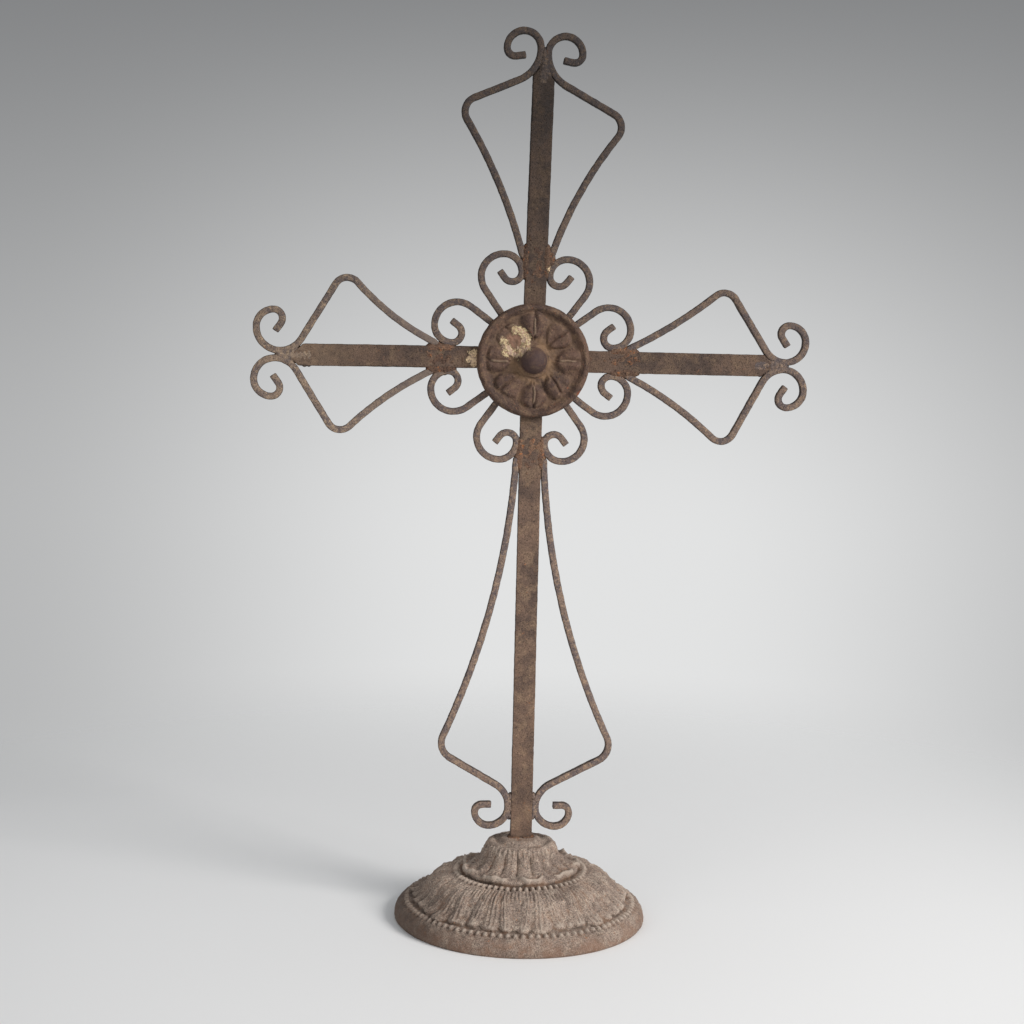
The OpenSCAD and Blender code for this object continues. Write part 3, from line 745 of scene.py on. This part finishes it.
med_front = moulded_line(front_line, 0.52, 0.35)
med_line = np.concatenate([med_front[:-1], moulded_line(back_line, 6)])
med_angle = np.linspace(-180, 180, med_spokes, endpoint=False)[None, :]
med_radius = med_line[:, :1] + 0 * med_angle
med_lift = np.zeros_like(med_radius)
front_rings = len(med_front) - 1
sin_a = np.sin(np.radians(med_angle))
cos_a = np.cos(np.radians(med_angle))
bare = np.stack([med_radius * sin_a, 0 * sin_a + med_line[:, 1:], med_radius * cos_a], axis=2)
bent = med_angle + 4 * rough_cast(bare, 13, 8) + 0.5 * rough_cast(bare, 5, 10)
med_lift[:front_rings] = petal_relief(med_radius + 1.6 * rough_cast(bare, 9, 9), bent)[:front_rings]
plain = rise(med_radius, boss_r - 1, boss_r + 2) * (1 - 0.6 * rise(med_radius, 40, 42))
skin = (0.12 + 0.35 * plain) * rough_cast(bare, 5, 6) + 0.25 * plain * rough_cast(bare, 1.9, 7)
# The crust of paint is a broken ring of lumps, and the petals under it hardly show.
crust_x, crust_z, crust_ring = -15.2, 14.6, 9.2
crust_off = np.hypot(bare[:, :, 0] - crust_x, bare[:, :, 2] - crust_z)
crust_flat = rise(-crust_off, -15, -11)
med_lift = med_lift * (1 - 0.85 * crust_flat)
open_side = rise(-0.72 * (bare[:, :, 0] - crust_x) + 0.7 * (bare[:, :, 2] - crust_z), 6, 9)
crust = np.exp(-((crust_off + 1.5 * rough_cast(bare, 3, 12) - crust_ring) / 2.6) ** 2)
crust = crust * (1 - open_side)
skin += crust * (1.3 + 0.9 * rough_cast(bare, 1.8, 13)) + 0.7 * crust_flat
skin[front_rings:] = 0
med_slope = np.gradient(med_line, axis=0)
med_slope /= np.hypot(med_slope[:, 0], med_slope[:, 1])[:, None]
med_radius = np.clip(med_radius - (skin - 0.3 * (med_radius > 40)) * med_slope[:, 1:], 0, med_r - 0.05)
med_z = np.clip(med_line[:, 1:] + med_lift + skin * med_slope[:, :1], 0, boss_z + boss_r)
med_z[front_rings:] = 0
points = np.stack([med_radius * sin_a, med_back - med_z, crossing_z + med_radius * cos_a], axis=2)
medallion = turned_mesh("medallion_casting", points * mm)
mark_hollows(medallion, med_lift + skin, 5, 2.4)
layer = medallion.data.attributes.new("raised", "FLOAT", "POINT")
flat = 0.3 * rise(med_radius, 38, 40) + 0.3 * rise(-med_radius, -15, -13)
raised = med_lift / petal_rise + flat + 1.5 * rib_of(med_radius, bent) * (1 - crust_flat)
layer.data.foreach_set("value", np.append(raised.ravel(), [0.3, 0.3]).astype(np.float32))

med_iron, tree, group, shader = new_iron(
    "medallion_iron", 0.32, Dark=(0.067, 0.039, 0.029, 1), Brown=(0.122, 0.069, 0.047, 1),
    Tan=(0.211, 0.135, 0.083, 1), Rust=(0.225, 0.081, 0.043, 1), Patches=52.0, Tan_Share=0.6,
    Rust_Share=0.45, Grain=0.4, Top_Shade=0.0)
level = put(tree, "ShaderNodeAttribute", attribute_name="level").outputs["Fac"]
raised = put(tree, "ShaderNodeAttribute", attribute_name="raised").outputs["Fac"]
place = place_of(tree)
dust = clouds(tree, place, 95.0, 5.0, 0.65)
patchy = clouds(tree, place, 150.0, 6.0, 0.7)
# Tan dust lies in the dish, painted shade darkens the deep hollows, and the ridges and ribs are paler.
dusty = calc(tree, "MULTIPLY", ramp(tree, raised, 0.02, 0.3, 0.6, 0.0),
             ramp(tree, dust, 0.4, 0.6, 0.1, 0.8))
colour = tint(tree, dusty, group.outputs["Color"], (0.195, 0.118, 0.07, 1))
# Painted shade in the deep hollows.
colour = tint(tree, ramp(tree, level, 0.05, 0.47, 0.85, 0.0), colour, (0.04, 0.02, 0.014, 1))
lobe = calc(tree, "MULTIPLY", ramp(tree, raised, 0.35, 0.8), ramp(tree, raised, 1.0, 1.2, 1.0, 0.0))
colour = tint(tree, calc(tree, "MULTIPLY", lobe, 0.25), colour, (0.085, 0.045, 0.036, 1))
colour = tint(tree, ramp(tree, level, 0.56, 0.85, 0.0, 0.6), colour, (0.25, 0.165, 0.11, 1))
colour = tint(tree, ramp(tree, raised, 1.0, 1.7, 0.0, 0.55), colour, (0.25, 0.175, 0.115, 1))
# A tan ring of rust lies round the boss, which is darker and smooth.
hub = put(tree, "ShaderNodeVectorMath", {0: place, 1: Vector((0, 0, crossing_z)) * mm},
          operation="SUBTRACT").outputs["Vector"]
hub = put(tree, "ShaderNodeVectorMath", {0: hub, 1: (1, 0, 1)}, operation="MULTIPLY").outputs["Vector"]
far = put(tree, "ShaderNodeVectorMath", {0: hub}, operation="LENGTH").outputs["Value"]
ring = calc(tree, "MULTIPLY", ramp(tree, far, 0.0105, 0.0118), ramp(tree, far, 0.0165, 0.021, 1, 0))
ring = calc(tree, "MULTIPLY", ring, ramp(tree, patchy, 0.36, 0.62, 0.1, 0.9))
colour = tint(tree, ring, colour, (0.225, 0.135, 0.075, 1))
boss_dark = calc(tree, "MULTIPLY", ramp(tree, far, 0.0102, 0.0112, 1.0, 0.0),
                 ramp(tree, dust, 0.36, 0.6, 0.3, 0.85))
colour = tint(tree, boss_dark, colour, (0.062, 0.036, 0.034, 1))
# A spot of red rust is on the rim, low on the right.
red_spot = Vector((37.2, -9, crossing_z - 25.5)) * mm
spot = put(tree, "ShaderNodeVectorMath", {0: place, 1: red_spot}, operation="DISTANCE").outputs["Value"]
spot = calc(tree, "SUBTRACT", spot, calc(tree, "MULTIPLY", patchy, 0.004))
colour = tint(tree, ramp(tree, spot, 0.0, 0.0016, 0.85, 0.0), colour, (0.23, 0.07, 0.035, 1))
crust_spot = Vector((crust_x, -11, crossing_z + crust_z)) * mm
inside = put(tree, "ShaderNodeVectorMath", {0: place, 1: crust_spot}, operation="DISTANCE")
inside = calc(tree, "MULTIPLY", ramp(tree, inside.outputs["Value"], 0.006, 0.0105, 1.0, 0.0),
              ramp(tree, patchy, 0.3, 0.6, 0.3, 0.9))
colour = tint(tree, inside, colour, (0.25, 0.135, 0.088, 1))
add_crust(tree, shader, colour, group.outputs["Height"], crust_spot, crust_ring * mm, 0.0046,
          back=-0.005, gap_way=(-0.72, 0, 0.7))
medallion.data.materials.append(med_iron)
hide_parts("medallion")
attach(medallion, "root")

# ---------------------------------------------------------------------------
# The studio: a plain pale floor that fades into the background, a large soft lamp
# in front on the right, a weaker one on the left, and the camera.
def area_lamp(name, place, target, size, power):
    """A round soft lamp that looks at a target."""
    data = bpy.data.lights.new(name, "AREA")
    data.shape = "DISK"
    data.size = size
    data.energy = power
    lamp = bpy.data.objects.new(name, data)
    lamp.location = place
    lamp.rotation_euler = (Vector(target) - Vector(place)).to_track_quat("-Z", "Y").to_euler()
    bpy.context.scene.collection.objects.link(lamp)


area_lamp("key_lamp", (1.9, -1.5, 1.5), (0, 0, 0.35), 1.1, 68)
area_lamp("fill_lamp", (-1.7, -1.7, 0.9), (0, 0, 0.35), 1.2, 8)

floor_mesh = bpy.data.meshes.new("floor")
shape = bmesh.new()
bmesh.ops.create_circle(shape, cap_ends=True, segments=96, radius=4)
shape.to_mesh(floor_mesh)
shape.free()
floor = bpy.data.objects.new("floor", floor_mesh)
bpy.context.scene.collection.objects.link(floor)
floor_paint = bpy.data.materials.new("floor_paint")
floor_paint.use_nodes = True
tree = floor_paint.node_tree
shader = tree.nodes["Principled BSDF"]
far = put(tree, "ShaderNodeVectorMath", {0: place_of(tree)}, operation="LENGTH").outputs["Value"]
colour = tint(tree, ramp(tree, far, 0.2, 2.2), (0.86, 0.84, 0.82, 1), (0.8, 0.785, 0.77, 1))
tree.links.new(colour, shader.inputs["Base Color"])
tree.links.new(ramp(tree, far, 0.25, 1.15, 1.0, 0.0), shader.inputs["Alpha"])
shader.inputs["Roughness"].default_value = 0.9
floor.data.materials.append(floor_paint)

world = bpy.data.worlds.new("studio")
bpy.context.scene.world = world
world.use_nodes = True
tree = world.node_tree
tree.nodes.clear()
look = put(tree, "ShaderNodeTexCoord").outputs["Generated"]
aside = calc(tree, "ABSOLUTE", calc(tree, "SUBTRACT", axis_of(tree, look, "X"), 0.14))
pale, dark = (0.76, 0.765, 0.765, 1), (0.2, 0.204, 0.21, 1)
# The backdrop is darker toward the top and the sides: painted shade.
backdrop = tint(tree, ramp(tree, axis_of(tree, look, "Z"), -0.12, 0.26), pale, dark)
backdrop = tint(tree, ramp(tree, aside, 0.05, 0.36, 0.0, 0.52), backdrop, dark)
path = put(tree, "ShaderNodeLightPath").outputs
seen = calc(tree, "MAXIMUM", path["Is Camera Ray"], path["Is Glossy Ray"])
seen = calc(tree, "MAXIMUM", seen, path["Is Transmission Ray"])
shown = put(tree, "ShaderNodeBackground", {"Color": backdrop, "Strength": 1.0})
soft = put(tree, "ShaderNodeBackground", {"Color": (0.9, 0.95, 1.0, 1), "Strength": 0.42})
either = put(tree, "ShaderNodeMixShader", {0: seen, 1: soft.outputs[0], 2: shown.outputs[0]})
put(tree, "ShaderNodeOutputWorld", {"Surface": either.outputs[0]})

eye = Vector((-0.1475, -1.4038, 0.4807))
yaw, pitch, roll = (math.radians(a) for a in (5.44, 5.61, -1.35))
ahead = Vector((math.sin(yaw) * math.cos(pitch), math.cos(yaw) * math.cos(pitch), -math.sin(pitch)))
level_right = Vector((math.cos(yaw), -math.sin(yaw), 0))
level_down = ahead.cross(level_right)
right = math.cos(roll) * level_right + math.sin(roll) * level_down
down = math.cos(roll) * level_down - math.sin(roll) * level_right
camera_data = bpy.data.cameras.new("camera")
camera_data.lens = 60.4
camera_data.sensor_width = 36
camera = bpy.data.objects.new("camera", camera_data)
camera.matrix_world = Matrix.Translation(eye) @ Matrix((right, -down, -ahead)).transposed().to_4x4()
bpy.context.scene.collection.objects.link(camera)
bpy.context.scene.camera = camera
bpy.context.scene.view_settings.view_transform = "Standard"
